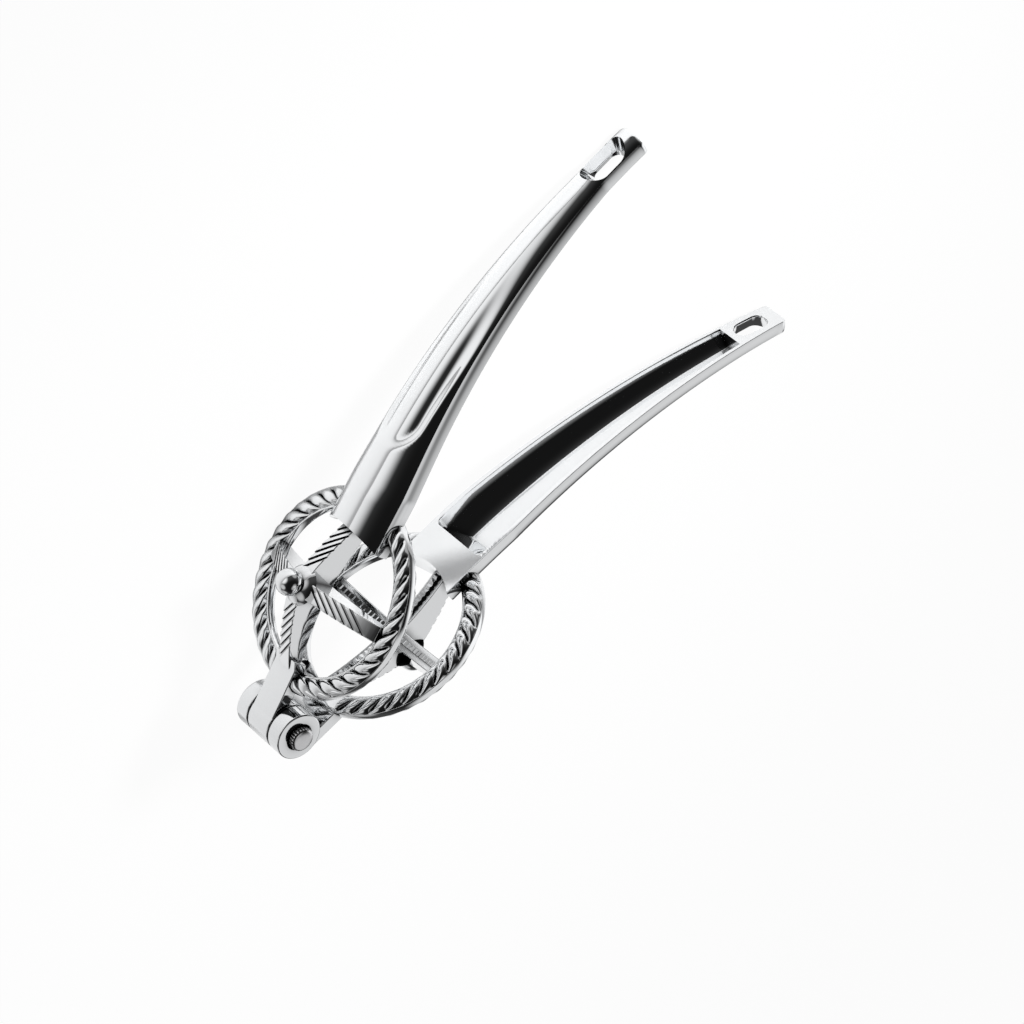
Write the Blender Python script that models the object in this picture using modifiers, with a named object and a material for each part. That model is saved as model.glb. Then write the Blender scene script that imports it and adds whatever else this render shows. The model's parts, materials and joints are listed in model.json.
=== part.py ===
"""Chestnut cutter: two cast jaws with rope-edged rings and four-blade cages, turning on one hinge pin.

Sizes are in millimetres and become metres where a mesh is made. Each jaw has its own frame:
x runs from the hinge pin to the handle, "out" runs away from the other jaw, z runs along the pin.
"""

import math

import bmesh
import bpy
from mathutils import Matrix, Vector

for old in list(bpy.data.objects):
    bpy.data.objects.remove(old, do_unlink=True)

MM = 0.001
GAP = 0.3                   # clearance between two pieces that touch in use
SINK = 0.15                 # how far a joined body stays inside the one that carries it
OVER = 1.0                  # how far a cutter runs past what it cuts
WELD = 0.001                # points nearer than this are one

OPENING = 25.8              # angle between the jaws at rest, degrees

# hinge
PIN_R = 3.2
BARREL_R = 6.4
MIDDLE_HALF = 4.3           # half length of the upper jaw's knuckle
KNUCKLE_IN = MIDDLE_HALF + GAP
KNUCKLE_OUT = 9.2
BORE_R = PIN_R + GAP
BORE_CHAMFER = 0.6
KNUCKLE_EDGE = 0.5
MIDDLE_EDGE = 0.4
LUG_EDGE = 0.3
PIN_STANDS_NEAR = 2.1       # how far the pin stands out of the knuckles
PIN_STANDS_FAR = 0.6
PIN_CHAMFER = 0.8
PIN_CHAMFER_LONG = 0.5
KNURL_TEETH = 16
KNURL_DEEP = 0.3

# ring
RING_MID = 3.6              # ring mid-plane from the parting plane
ROPE_R = 24.1
ROPE_OUT = 2.7              # from the rope's centre line to the smooth outer belt
ROPE_IN = 2.5
ROPE_HALF = 2.7             # half height
BELT_HALF = 0.95
LOBES = 36
STEPS_PER_LOBE = 4
LAY = 3                     # lobes passed by a strand in one turn round the section
GROOVE = 0.46               # share of the section lost in a groove between lobes
RING_INNER = ROPE_R - ROPE_IN
RING_OUTER = ROPE_R + ROPE_OUT
RING_CLEAR = 2.55           # from the knuckles' barrel to the ring
RING_X = BARREL_R + RING_CLEAR + RING_OUTER     # ring centre from the pin

# flat plates between the knuckles and the rings
SLAB_IN = 3.1
SLAB_OUT = 6.5
SLAB_START = 5.6
SLAB_END = RING_X - RING_INNER - SINK
LUG_RISE = 0.6              # the lug leaves the plate's line here
LUG_REACH = 3.0             # from the ring's inner wall into the cage's arm
LUG_LOW = 0.55              # the lug's end stays this far below the arm's outer side

# cage
CAGE_TOP = 16.9             # outer side of the arms, above the parting plane at the ring's centre
CAGE_FALL = 0.22
CAGE_ARC = 92.6             # the arms' outer side drops by r * r / CAGE_ARC
EDGE_TOP = 6.9              # inner side of the arms
EDGE_ARC = 133.3
BLADE_T = 4.3
EDGE_T = 1.3
EDGE_DROP = 1.0
EDGE_SEAT = 1.0             # the cutting edge's back stays this far inside the arm
TOOTH = 0.45
TEETH = 28
EDGE_SHORT = 0.3            # the cutting edges stop this far short of the ring's inner wall
EDGE_REACH = RING_INNER - EDGE_SHORT
ARM_SEAT = 0.8              # the arms end this far inside the ring
CAGE_REACH = RING_INNER + ARM_SEAT
BALL_R = 4.0
BALL_SEAT = 1.6             # the ball's centre above the arms' outer side
BALL_OUT = CAGE_TOP + BALL_SEAT
SLOTS = 6
SLOT_FIRST = 6.2
SLOT_PITCH = 2.3
SLOT_W = 0.75
SLOT_DEEP = 0.5
SLOT_SLANT = -35.0

# handle
ROOT_IN = 3.1               # the handle's root reaches this far inside the ring
ROOT_R = RING_INNER - ROOT_IN
ROOT_SPARE = 4.0            # the handle starts this much before its root is cut
ROOT_HALF = 10.4
TIP_HALF = 4.3
TAPER = 0.069               # half width lost per millimetre
ROOT_DEPTH = 10.0
TIP_DEPTH = 6.3
ROOT_WALL = 3.2             # upright part of the side
TIP_WALL = 2.5
SHOULDER = 0.95             # the arch springs at this share of the half width
TIP_ROUND = 1.1
HANDLE_STATIONS = 13
ARCH_STEPS = 6
CHANNEL_CLEAR = 0.65        # from the ring to the hollow of the handle
CHANNEL_START = RING_X + RING_OUTER + CHANNEL_CLEAR
CHANNEL_END = 150.9
CHANNEL_SWEEP = 4.8         # length of the hollow's rounded start
LIP_ROOT = 1.4
LIP_TIP = 1.0
FLOOR_HALF_ROOT = 3.65
FLOOR_HALF_TIP = 1.25
FLOOR_ROOT = 8.0
FLOOR_TIP = 4.4
HOLE_LONG = 9.3
HOLE_WIDE = 4.8
RIM_FLARE_DEEP = 0.5        # the hole's flares at the rim and at the crown
RIM_FLARE = 0.4
CROWN_FLARE_DEEP = 4.0
CROWN_FLARE = 1.5
PANEL_START = 79.5          # the sunk panel along the crown
PANEL_DEEP = 0.5
PANEL_HALF_ROOT = 6.0
PANEL_HALF_TIP = 3.1
PANEL_ROUND = 9.0           # length of the panel's rounded start
PANEL_NOSE = 0.25           # share of the half width the rounded start begins with

# the two handles' own lines
LOWER_RIM = -0.6            # rim level at the ring, from the parting plane
LOWER_BEND_START = 56.0
LOWER_BEND_R = 250.0
LOWER_TAPER_START = 74.0
LOWER_TIP = 164.5
LOWER_HOLE = 157.1
UPPER_RIM = 3.2
UPPER_BEND_START = 78.0
UPPER_BEND_R = 200.0
UPPER_TAPER_START = 66.5
UPPER_TIP = 167.7
UPPER_HOLE = 159.0


class Jaw:
    """What differs between the two jaws: the side it is on, and the line of its rim."""

    def __init__(self, name, side, rim, bend, bend_start, bend_radius, taper_start, tip, hole):
        self.name = name
        self.side = side                    # +1 where out is +Y, -1 where out is -Y
        self.rim = rim                      # rim level at the ring, along out
        self.bend = bend                    # +1 bends outward, -1 towards the other jaw
        self.bend_start = bend_start
        self.bend_radius = bend_radius
        self.taper_start = taper_start
        self.tip = tip
        self.hole = hole

    def rim_at(self, x):
        """Rim point and unit tangent of the handle at x, in the (x, out) plane."""
        run = max(0.0, x - self.bend_start)
        sine = run / self.bend_radius
        cosine = math.sqrt(1 - sine * sine)
        out = self.rim + self.bend * self.bend_radius * (1 - cosine)
        return Vector((x, out)), Vector((cosine, self.bend * sine))

    def half_width(self, x):
        return max(TIP_HALF, ROOT_HALF - TAPER * max(0.0, x - self.taper_start))

    def along(self, x):
        """0 where the channel starts, 1 where it ends."""
        return min(1.0, max(0.0, (x - CHANNEL_START) / (CHANNEL_END - CHANNEL_START)))

    def depth(self, x):
        return mix(ROOT_DEPTH, TIP_DEPTH, self.along(x))

    def at(self, x, deep, z):
        """Point of the jaw at depth below the rim, measured square to the rim line."""
        rim, tangent = self.rim_at(x)
        return self.place(rim.x - tangent.y * deep, rim.y + tangent.x * deep, z)

    def place(self, x, out, z):
        return Vector((x, self.side * out, z))


def mix(a, b, t):
    return a + (b - a) * t


def new_collection(name):
    made = bpy.data.collections.new(name)
    bpy.context.scene.collection.children.link(made)
    return made


pieces = new_collection("chestnut_cutter")
cutters = new_collection("cutters")
cutters.hide_render = True


def to_object(name, bm, parent=None):
    """A closed mesh in millimetres becomes an object in metres, kept among the cutters until it is a piece."""
    bmesh.ops.recalc_face_normals(bm, faces=bm.faces)
    bmesh.ops.scale(bm, vec=(MM, MM, MM), verts=bm.verts)
    mesh = bpy.data.meshes.new(name)
    bm.to_mesh(mesh)
    bm.free()
    made = bpy.data.objects.new(name, mesh)
    made.parent = parent
    made.display_type = "WIRE"
    cutters.objects.link(made)
    return made


def loft(name, rings, parent=None):
    """Skin over closed rings of equally many points, with flat caps."""
    bm = bmesh.new()
    rows = [[bm.verts.new(p) for p in ring] for ring in rings]
    count = len(rows[0])
    for a, b in zip(rows, rows[1:]):
        for i in range(count):
            j = (i + 1) % count
            bm.faces.new((a[i], a[j], b[j], b[i]))
    bm.faces.new(rows[0])
    bm.faces.new(rows[-1])
    return to_object(name, bm, parent)


def plate(name, outline, low, high, parent=None, turn=None):
    """A flat outline in the xy plane, extruded from z low to z high by a filled curve."""
    curve = bpy.data.curves.new(name, "CURVE")
    curve.dimensions = "2D"
    curve.fill_mode = "BOTH"
    curve.extrude = (high - low) / 2
    spline = curve.splines.new("POLY")
    spline.points.add(len(outline) - 1)
    for point, (x, y) in zip(spline.points, outline):
        point.co = (x, y, 0, 1)
    spline.use_cyclic_u = True
    drawn = bpy.data.objects.new(name, curve)
    cutters.objects.link(drawn)
    mesh = bpy.data.meshes.new_from_object(drawn)
    bpy.data.objects.remove(drawn)
    bm = bmesh.new()
    bm.from_mesh(mesh)
    bpy.data.meshes.remove(mesh)
    bmesh.ops.remove_doubles(bm, verts=bm.verts, dist=0.001)
    bmesh.ops.translate(bm, verts=bm.verts, vec=(0, 0, (low + high) / 2))
    if turn is not None:
        bmesh.ops.transform(bm, matrix=turn, verts=bm.verts)
    return to_object(name, bm, parent)


def cylinder(name, radius, low, high, parent=None, segments=32, top_radius=None, turn=None):
    bm = bmesh.new()
    bmesh.ops.create_cone(
        bm,
        cap_ends=True,
        segments=segments,
        radius1=radius,
        radius2=radius if top_radius is None else top_radius,
        depth=high - low,
        matrix=Matrix.Translation((0, 0, (low + high) / 2)),
    )
    if turn is not None:
        bmesh.ops.transform(bm, matrix=turn, verts=bm.verts)
    return to_object(name, bm, parent)


def bevel(obj, width, segments=2):
    made = obj.modifiers.new("bevel", "BEVEL")
    made.width = width * MM
    made.segments = segments
    made.limit_method = "ANGLE"
    made.angle_limit = math.radians(50)
    return obj


def combine(target, tool, operation):
    made = target.modifiers.new(tool.name, "BOOLEAN")
    made.operation = operation
    made.solver = "EXACT"
    made.object = tool


def chrome(name, tint, roughness):
    made = bpy.data.materials.new(name)
    made.use_nodes = True
    shader = made.node_tree.nodes["Principled BSDF"]
    shader.inputs["Base Color"].default_value = (*tint, 1)
    shader.inputs["Metallic"].default_value = 1.0
    shader.inputs["Roughness"].default_value = roughness
    return made


def sew(mesh):
    """Welds points that a Boolean left side by side, and closes the hairline openings between them."""
    bm = bmesh.new()
    bm.from_mesh(mesh)
    bmesh.ops.remove_doubles(bm, verts=bm.verts, dist=WELD * MM)
    open_edges = [edge for edge in bm.edges if edge.is_boundary]
    bmesh.ops.holes_fill(bm, edges=open_edges, sides=4)
    bm.to_mesh(mesh)
    bm.free()


def finish(obj, material):
    """Bakes the Booleans, so that edges can be marked sharp by their angle, and makes the object a piece."""
    bpy.context.view_layer.update()
    ready = obj.evaluated_get(bpy.context.evaluated_depsgraph_get())
    mesh = bpy.data.meshes.new_from_object(ready)
    sew(mesh)
    obj.modifiers.clear()
    obj.data = mesh
    mesh.materials.clear()
    mesh.materials.append(material)
    mesh.shade_smooth()
    mesh.set_sharp_from_angle(angle=math.radians(35))
    cutters.objects.unlink(obj)
    pieces.objects.link(obj)
    obj.display_type = "TEXTURED"


# cage profile, measured from the ring's centre


def blade_top(r):
    return CAGE_TOP - CAGE_FALL * abs(r) - r * r / CAGE_ARC


def blade_bottom(r):
    return EDGE_TOP - r * r / EDGE_ARC


def rope_ring(jaw, parent):
    """A clamped torus whose lobes follow a helix, so every groove lies on an edge of the mesh."""
    rows = (
        (ROPE_OUT, BELT_HALF, 0),
        (0.66 * ROPE_OUT, 0.78 * ROPE_HALF, 0.8),
        (0.0, ROPE_HALF, 1),
        (-0.64 * ROPE_IN, 0.78 * ROPE_HALF, 0.8),
        (-ROPE_IN, BELT_HALF, 0),
        (-ROPE_IN, -BELT_HALF, 0),
        (-0.64 * ROPE_IN, -0.78 * ROPE_HALF, 0.8),
        (0.0, -ROPE_HALF, 1),
        (0.66 * ROPE_OUT, -0.78 * ROPE_HALF, 0.8),
        (ROPE_OUT, -BELT_HALF, 0),
    )
    count = LOBES * STEPS_PER_LOBE
    bm = bmesh.new()
    grid = []
    for radial, high, share in rows:
        turn = math.atan2(high, radial) % math.tau
        line = []
        for i in range(count):
            phase = math.tau * i / STEPS_PER_LOBE
            notch = ((1 + math.cos(phase)) / 2) ** 3
            keep = 1 - GROOVE * share * notch
            angle = (phase + LAY * turn) / LOBES
            radius = ROPE_R + radial * keep
            line.append(
                bm.verts.new(
                    jaw.place(
                        RING_X + radius * math.cos(angle),
                        RING_MID + high * keep,
                        radius * math.sin(angle),
                    )
                )
            )
        grid.append(line)
    shift = LAY * STEPS_PER_LOBE
    for k in range(len(rows)):
        last = k == len(rows) - 1
        a = grid[k]
        b = grid[0] if last else grid[k + 1]
        for i in range(count):
            j = (i + 1) % count
            if last:
                bi, bj = (i + shift) % count, (j + shift) % count
            else:
                bi, bj = i, j
            bm.faces.new((a[i], a[j], b[bj], b[bi]))
    return to_object(jaw.name + "_rope", bm, parent)


def blade_pair(jaw, parent, label, turn, lower):
    """Two opposite arms of the cage in one plate, and the thin serrated edge below it."""
    span = [CAGE_REACH * (i / 8 - 1) for i in range(17)]
    top = [(r, jaw.side * (blade_top(r) - lower)) for r in span]
    bottom = [(r, jaw.side * (blade_bottom(r) - lower)) for r in reversed(span)]
    body = plate(
        jaw.name + "_arms_" + label, top + bottom, -BLADE_T / 2, BLADE_T / 2, parent, turn
    )
    teeth = []
    for i in range(2 * TEETH + 1):
        r = EDGE_REACH * (i / TEETH - 1)
        drop = EDGE_DROP if i % 2 else EDGE_DROP - TOOTH
        teeth.append((r, jaw.side * (blade_bottom(r) - lower - drop)))
    back = [
        (EDGE_REACH * t, jaw.side * (blade_bottom(EDGE_REACH * t) - lower + EDGE_SEAT))
        for t in (1, 0.5, 0, -0.5, -1)
    ]
    edge = plate(jaw.name + "_edge_" + label, teeth + back, -EDGE_T / 2, EDGE_T / 2, parent, turn)
    return body, edge


def slot_cutter(jaw, parent):
    """Slanted slots across the outer strip of all four arms."""
    bm = bmesh.new()
    for arm in range(4):
        for i in range(SLOTS):
            r = SLOT_FIRST + SLOT_PITCH * i
            slope = math.atan2(blade_top(r + 0.1) - blade_top(r - 0.1), 0.2)
            where = (
                Matrix.Translation((RING_X, 0, 0))
                @ Matrix.Rotation(arm * math.pi / 2, 4, "Y")
                @ Matrix.Translation((r, blade_top(r), 0))
                @ Matrix.Rotation(slope, 4, "Z")
                @ Matrix.Rotation(math.radians(SLOT_SLANT), 4, "Y")
            )
            size = Matrix.Diagonal((2.4 * BLADE_T, 2 * SLOT_DEEP, SLOT_W, 1))
            bmesh.ops.create_cube(bm, size=1.0, matrix=where @ size)
    if jaw.side < 0:
        bmesh.ops.scale(bm, vec=(1, -1, 1), verts=bm.verts)
    return to_object(jaw.name + "_slots", bm, parent)


def arch_at(jaw, x, z, shrink=0.0):
    """Depth of the handle's outer side at z: a parabola between the upright walls."""
    deep = jaw.depth(x) - shrink
    wall = mix(ROOT_WALL, TIP_WALL, jaw.along(x)) - shrink / 2
    shoulder = (jaw.half_width(x) - shrink) * SHOULDER
    return wall + (deep - wall) * (1 - (z / shoulder) ** 2)


def handle_section(jaw, x, shrink=0.0):
    """Rim corners, short upright walls and a parabolic arch between them."""
    half = jaw.half_width(x) - shrink
    wall = mix(ROOT_WALL, TIP_WALL, jaw.along(x)) - shrink / 2
    side = [(half, 0.0), (half * 0.985, wall * 0.6)]
    for i in range(ARCH_STEPS):
        z = half * SHOULDER * (1 - i / ARCH_STEPS)
        side.append((z, arch_at(jaw, x, z, shrink)))
    ring = side + [(0.0, arch_at(jaw, x, 0.0, shrink))] + [(-z, d) for z, d in reversed(side)]
    return [jaw.at(x, d, z) for z, d in ring]


def handle_body(jaw):
    first = RING_X + ROOT_R - ROOT_SPARE
    stations = [first, CHANNEL_START]
    run = jaw.tip - CHANNEL_START - TIP_ROUND
    stations += [CHANNEL_START + run * (i + 1) / HANDLE_STATIONS for i in range(HANDLE_STATIONS)]
    rings = [handle_section(jaw, x) for x in stations]
    rings.append(handle_section(jaw, jaw.tip, TIP_ROUND * 0.6))
    return loft(jaw.name, rings)


def channel_cutter(jaw, parent):
    """The hollow of the handle: a flat floor between leaning walls, with a swept end at the root."""

    def section(x, top, floor, deep):
        side = [(top, -2 * OVER), (top, 0.0), (0.95 * top, 0.22 * deep), (floor, deep)]
        ring = side + [(-z, d) for z, d in reversed(side)]
        return [jaw.at(x, d, z) for z, d in ring]

    def full(x):
        t = jaw.along(x)
        top = jaw.half_width(x) - mix(LIP_ROOT, LIP_TIP, t)
        return top, mix(FLOOR_HALF_ROOT, FLOOR_HALF_TIP, t), mix(FLOOR_ROOT, FLOOR_TIP, t)

    rings = []
    for ahead, wide, deep in ((0.0, 0.55, 0.06), (0.21, 0.82, 0.3), (0.5, 0.95, 0.62), (1.0, 1.0, 1.0)):
        x = CHANNEL_START + CHANNEL_SWEEP * ahead
        top, floor, bottom = full(x)
        # the floor starts wide and shallow, so that the end wall sweeps down to it
        rings.append(section(x, top * wide, mix(top * wide * 0.85, floor, deep), bottom * deep))
    start = CHANNEL_START + CHANNEL_SWEEP
    steps = 11
    for i in range(steps):
        x = mix(start, CHANNEL_END, (i + 1) / steps)
        rings.append(section(x, *full(x)))
    return loft(jaw.name + "_channel", rings, parent)


def panel_cutter(jaw, parent):
    """The long panel sunk into the crown of the handle: a rounded start, then open to the tip."""
    rings = []
    steps = 9
    end = jaw.tip + OVER
    for i in range(steps + 1):
        # the stations stand closer together round the start
        t = (i / steps) ** 2
        x = mix(PANEL_START, end, t)
        ahead = min(1.0, (x - PANEL_START) / PANEL_ROUND)
        start = mix(PANEL_NOSE, 1.0, math.sqrt(1 - (1 - ahead) ** 2))
        half = start * mix(PANEL_HALF_ROOT, PANEL_HALF_TIP, t)
        over = arch_at(jaw, x, 0.0) + OVER
        floor = [(half * k / 2, arch_at(jaw, x, half * k / 2) - PANEL_DEEP) for k in (2, 1, 0, -1, -2)]
        ring = [(half, over), *floor, (-half, over)]
        rings.append([jaw.at(x, d, z) for z, d in ring])
    return loft(jaw.name + "_panel", rings, parent)


def hole_cutter(jaw, parent):
    """Obround hanging hole, with a narrow flare at the rim and a deep one at the crown."""
    straight = (HOLE_LONG - HOLE_WIDE) / 2
    rim, tangent = jaw.rim_at(jaw.hole)
    deep = jaw.depth(jaw.hole)
    rings = []
    # each flare is drawn on past its face at its own slope
    rim_over = RIM_FLARE * (1 + OVER / RIM_FLARE_DEEP)
    crown_over = CROWN_FLARE * (1 + OVER / CROWN_FLARE_DEEP)
    for level, extra in (
        (-OVER, rim_over),
        (RIM_FLARE_DEEP, 0.0),
        (deep - CROWN_FLARE_DEEP, 0.0),
        (deep + OVER, crown_over),
    ):
        ring = []
        for i in range(24):
            angle = math.tau * i / 24
            radius = HOLE_WIDE / 2 + extra
            step = radius * math.cos(angle) + math.copysign(straight, math.cos(angle + 1e-6))
            ring.append(
                jaw.place(
                    rim.x + tangent.x * step - tangent.y * level,
                    rim.y + tangent.y * step + tangent.x * level,
                    radius * math.sin(angle),
                )
            )
        rings.append(ring)
    return loft(jaw.name + "_hole", rings, parent)


def bore_cutters(jaw, parent, half):
    """The pin's bore, with a chamfer at both ends."""
    bore = cylinder(jaw.name + "_bore", BORE_R, -half - OVER, half + OVER, parent, 32)
    wide = BORE_R + BORE_CHAMFER
    over = wide + BORE_CHAMFER
    near = cylinder(
        jaw.name + "_chamfer_near", BORE_R, half - BORE_CHAMFER, half + BORE_CHAMFER, parent, 32, over
    )
    far = cylinder(
        jaw.name + "_chamfer_far", over, -half - BORE_CHAMFER, -half + BORE_CHAMFER, parent, 32, BORE_R
    )
    return bore, near, far


def build_jaw(jaw, frame, knuckles, material):
    """One casting: handle, rope ring, cage, ball and hinge knuckles joined into one solid."""
    upright = Matrix.Translation((RING_X, 0, 0))
    crosswise = upright @ Matrix.Rotation(math.pi / 2, 4, "Y")
    along_axis = upright @ Matrix.Rotation(-math.pi / 2, 4, "X")

    casting = handle_body(jaw)
    casting.parent = frame
    root_cut = cylinder(
        jaw.name + "_root_cut", ROOT_R, -2 * ROOT_R, 2 * ROOT_R, frame, 72, turn=along_axis
    )
    combine(casting, root_cut, "DIFFERENCE")
    combine(casting, channel_cutter(jaw, frame), "DIFFERENCE")
    combine(casting, panel_cutter(jaw, frame), "DIFFERENCE")
    combine(casting, hole_cutter(jaw, frame), "DIFFERENCE")
    ring = rope_ring(jaw, frame)
    if jaw.side < 0:
        combine(ring, ring_trim(jaw, frame), "DIFFERENCE")
    combine(casting, ring, "UNION")
    for label, turn, lower in (("along", upright, 0.0), ("across", crosswise, SINK)):
        body, edge = blade_pair(jaw, frame, label, turn, lower)
        combine(casting, body, "UNION")
        combine(casting, edge, "UNION")
    combine(casting, slot_cutter(jaw, frame), "DIFFERENCE")

    bm = bmesh.new()
    where = Matrix.Translation(jaw.place(RING_X, BALL_OUT, 0)) @ Matrix.Rotation(math.pi / 2, 4, "X")
    bmesh.ops.create_uvsphere(bm, u_segments=18, v_segments=10, radius=BALL_R, matrix=where)
    combine(casting, to_object(jaw.name + "_ball", bm, frame), "UNION")

    for joined in knuckles(jaw, frame):
        combine(casting, joined, "UNION")
    half = MIDDLE_HALF if jaw.side > 0 else KNUCKLE_OUT
    for cut in bore_cutters(jaw, frame, half):
        combine(casting, cut, "DIFFERENCE")
    finish(casting, material)
    return casting


def slab_root():
    """Where a plate's parting face meets the barrel, a little inside it."""
    return math.sqrt(BARREL_R ** 2 - SLAB_IN ** 2) - OVER


def middle_knuckle(jaw, frame):
    """One barrel, and the lug that runs from it over the ring into the cage's hinge-side arm."""
    barrel = bevel(
        cylinder(jaw.name + "_barrel", BARREL_R, -MIDDLE_HALF, MIDDLE_HALF, frame), MIDDLE_EDGE, 1
    )
    end = SLAB_END + LUG_REACH
    outline = [
        (0.0, BARREL_R - SINK),
        (SLAB_START, SLAB_OUT),
        (SLAB_END + LUG_RISE, SLAB_OUT + LUG_RISE),
        (end, blade_top(RING_X - end) - LUG_LOW),
        (end, blade_bottom(RING_X - end) + SINK),
        (SLAB_END, SLAB_IN),
        (slab_root(), SLAB_IN),
        (0.0, 0.0),
    ]
    half = MIDDLE_HALF - SINK
    lug = plate(
        jaw.name + "_lug", [(x, jaw.side * out) for x, out in outline], -half, half, frame
    )
    return barrel, bevel(lug, LUG_EDGE, 1)


def outer_knuckles(jaw, frame):
    """Two barrels on one flat plate that ends in the ring, with room for the middle knuckle between them."""
    made = []
    for label, side in (("near", 1), ("far", -1)):
        low, high = sorted((side * KNUCKLE_IN, side * KNUCKLE_OUT))
        barrel = cylinder(f"{jaw.name}_barrel_{label}", BARREL_R, low, high, frame)
        made.append(bevel(barrel, KNUCKLE_EDGE, 1))
    outline = [
        (0.0, BARREL_R - SINK),
        (SLAB_END, SLAB_OUT),
        (SLAB_END, SLAB_IN),
        (slab_root(), SLAB_IN),
        (0.0, 0.0),
    ]
    half = KNUCKLE_OUT - SINK
    slab = plate(
        jaw.name + "_slab", [(x, jaw.side * out) for x, out in outline], -half, half, frame
    )
    inside = KNUCKLE_IN + SINK / 2
    slot = cylinder(jaw.name + "_slot", BARREL_R + GAP, -inside, inside, frame, 32)
    combine(slab, slot, "DIFFERENCE")
    made.append(slab)
    return made


def ring_trim(jaw, frame):
    """Clears the rope off the parting side of the slab."""
    half = KNUCKLE_OUT + SINK
    low = RING_MID - ROPE_HALF - OVER
    high = SLAB_IN - SINK
    end = SLAB_END + 2 * OVER
    outline = [(0, low), (end, low), (end, high), (0, high)]
    return plate(
        jaw.name + "_ring_trim", [(x, jaw.side * out) for x, out in outline], -half, half, frame
    )


def hinge_pin(parent, material):
    """Turned pin with a knurled end."""
    count = 2 * KNURL_TEETH
    near = KNUCKLE_OUT + PIN_STANDS_NEAR
    far = -KNUCKLE_OUT - PIN_STANDS_FAR
    profile = (
        (far, PIN_R - PIN_CHAMFER, 0),
        (far + PIN_CHAMFER_LONG, PIN_R, 0),
        (KNUCKLE_OUT - 2 * KNURL_DEEP, PIN_R, 0),
        (KNUCKLE_OUT - KNURL_DEEP, PIN_R, KNURL_DEEP),
        (near - PIN_CHAMFER_LONG - KNURL_DEEP, PIN_R, KNURL_DEEP),
        (near - PIN_CHAMFER_LONG, PIN_R - KNURL_DEEP, 0),
        (near, PIN_R - PIN_CHAMFER, 0),
    )
    rings = []
    for z, radius, cut in profile:
        ring = []
        for i in range(count):
            angle = math.tau * i / count
            r = radius - (cut if i % 2 else 0)
            ring.append(Vector((r * math.cos(angle), r * math.sin(angle), z)))
        rings.append(ring)
    pin = loft("hinge_pin", rings, parent)
    finish(pin, material)
    return pin


lying = bpy.data.objects.new("chestnut_cutter", None)
pieces.objects.link(lying)
lower_frame = bpy.data.objects.new("lower_frame", None)
upper_frame = bpy.data.objects.new("upper_frame", None)
for frame, turn in ((lower_frame, -OPENING / 2), (upper_frame, OPENING / 2)):
    pieces.objects.link(frame)
    frame.parent = lying
    frame.rotation_euler = (0, 0, math.radians(turn))

LOWER = Jaw(
    "lower_jaw", -1, LOWER_RIM, 1, LOWER_BEND_START, LOWER_BEND_R, LOWER_TAPER_START, LOWER_TIP, LOWER_HOLE
)
UPPER = Jaw(
    "upper_jaw", 1, UPPER_RIM, -1, UPPER_BEND_START, UPPER_BEND_R, UPPER_TAPER_START, UPPER_TIP, UPPER_HOLE
)

build_jaw(LOWER, lower_frame, outer_knuckles, chrome("chrome_lower", (0.86, 0.87, 0.88), 0.08))
build_jaw(UPPER, upper_frame, middle_knuckle, chrome("chrome_upper", (0.86, 0.87, 0.88), 0.08))
hinge_pin(lower_frame, chrome("steel_pin", (0.72, 0.72, 0.72), 0.2))


def lowest(points, lean):
    """Height of the lowest point once the tool has leaned about +Y."""
    sine, cosine = math.sin(lean), math.cos(lean)
    return min(cosine * p.z - sine * p.x for p in points)


def resting_lean(points):
    """The angle at which the rings and a handle's tip touch the table together."""
    middle = (RING_X + UPPER_TIP) / 2 * MM
    rings = [p for p in points if p.x < middle]
    tips = [p for p in points if p.x >= middle]
    low, high = 0.0, math.radians(30)
    for _ in range(40):
        lean = (low + high) / 2
        if lowest(tips, lean) > lowest(rings, lean):
            low = lean
        else:
            high = lean
    return lean


def corners():
    bpy.context.view_layer.update()
    meshes = [obj for obj in pieces.objects if obj.type == "MESH"]
    return [obj.matrix_world @ v.co for obj in meshes for v in obj.data.vertices]


lying.rotation_euler = (0, resting_lean(corners()), 0)
placed = corners()
low = [min(p[k] for p in placed) for k in range(3)]
high = [max(p[k] for p in placed) for k in range(3)]
# the origin is the middle of the bottom of the tool's box
lying.location = (-(low[0] + high[0]) / 2, -(low[1] + high[1]) / 2, -low[2])
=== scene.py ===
"""Looks of the chestnut cutter: polished chrome castings, rope rings, slotted cages and a turned pin.

The castings are drawn again here with far finer skins than the solids have, because mirror chrome shows
every facet. Sizes are millimetres in each jaw's own frame, as in the part's source: x runs from the pin
to the handle, "out" runs away from the other jaw, z runs along the pin. Depths in a handle are measured
from its open side towards its crown. Its root is the end at the ring, its tip the end with the hole.
"""

import json
import math

import bmesh
import bpy
from mathutils import Matrix, Vector


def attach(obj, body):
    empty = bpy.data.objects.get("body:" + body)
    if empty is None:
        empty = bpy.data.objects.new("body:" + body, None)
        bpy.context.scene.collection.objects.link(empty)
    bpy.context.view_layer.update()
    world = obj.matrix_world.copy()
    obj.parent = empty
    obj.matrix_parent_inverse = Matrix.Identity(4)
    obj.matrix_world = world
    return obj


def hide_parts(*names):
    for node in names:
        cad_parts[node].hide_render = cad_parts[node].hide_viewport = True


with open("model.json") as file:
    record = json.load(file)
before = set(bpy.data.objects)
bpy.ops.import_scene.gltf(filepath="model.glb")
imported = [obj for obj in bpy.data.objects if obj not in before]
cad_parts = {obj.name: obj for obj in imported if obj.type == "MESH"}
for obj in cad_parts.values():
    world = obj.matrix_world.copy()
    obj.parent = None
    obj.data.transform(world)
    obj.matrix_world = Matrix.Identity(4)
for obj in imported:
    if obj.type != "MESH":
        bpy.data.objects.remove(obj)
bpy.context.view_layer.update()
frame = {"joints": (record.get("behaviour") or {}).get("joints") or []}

MM = 0.001
MERGE = 0.0005              # points nearer to each other than this are one
TURNED_SIDES = 96
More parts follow.
